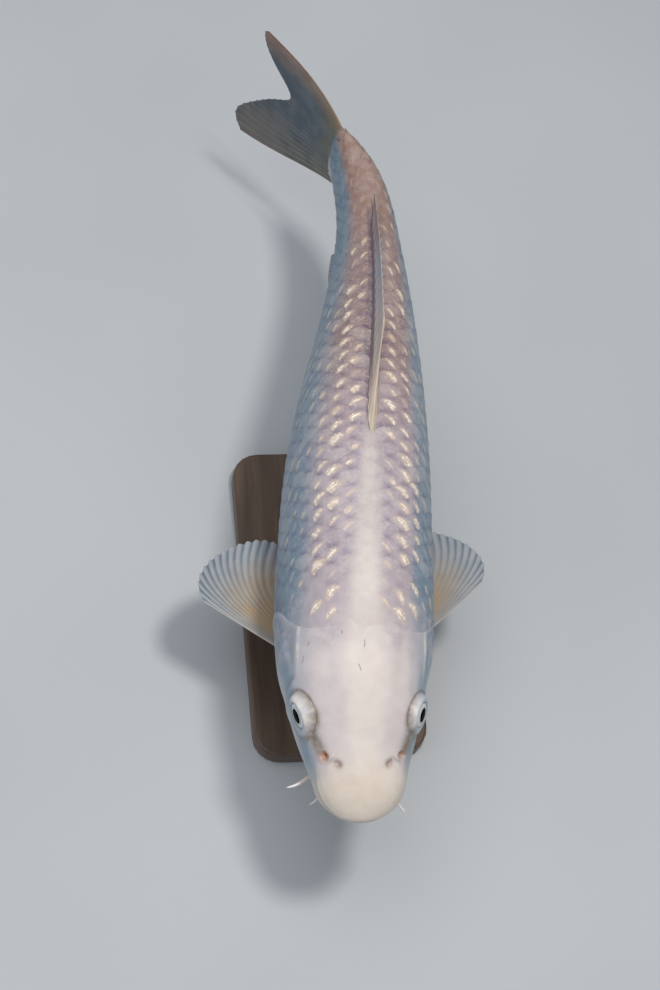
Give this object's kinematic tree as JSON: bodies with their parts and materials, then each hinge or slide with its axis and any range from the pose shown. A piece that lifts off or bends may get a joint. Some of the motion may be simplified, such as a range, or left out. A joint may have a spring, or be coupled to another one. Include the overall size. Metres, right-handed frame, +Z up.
{
  "type": "koi carp model on a display stand",
  "caption": "Life-size koi carp swimming level with its tail swung to one side, with fins, barbels and gill covers, held by two short rods on a flat base.",
  "frame": {"origin": "centre of the stand's underside, on the floor", "axes": "+Z up, snout towards -Y, +X towards the fish's left side"},
  "size_m": [0.1684, 0.4924, 0.1962],
  "materials": {
    "skin": "smooth wet skin, warm cream with a pearly sheen",
    "barbel": "smooth cream skin",
    "scales": "overlapping pearly scales with pale metallic glints",
    "fin": "translucent cream membrane over fine rays",
    "eye": "glossy, silver-white iris and black pupil",
    "stand_wood": "dark stained wood, satin",
    "stand_steel": "brushed"
  },
  "bodies": {
    "root": {"head": "skin", "lip_upper": "skin", "lip_lower": "skin", "gill_cover_left": "skin", "gill_cover_right": "skin", "barbel_corner_left": "barbel", "barbel_corner_right": "barbel", "barbel_lip_left": "barbel", "barbel_lip_right": "barbel", "trunk_front": "scales", "trunk_rear": "scales", "tail_stalk": "scales", "fin_dorsal": "fin", "fin_anal": "fin", "fin_caudal": "fin", "fin_pectoral_left": "fin", "fin_pectoral_right": "fin", "fin_pelvic_left": "fin", "fin_pelvic_right": "fin", "eye_left": "eye", "eye_right": "eye", "stand_base": "stand_wood", "stand_rod_front": "stand_steel", "stand_rod_rear": "stand_steel"}
  },
  "joints": []
}
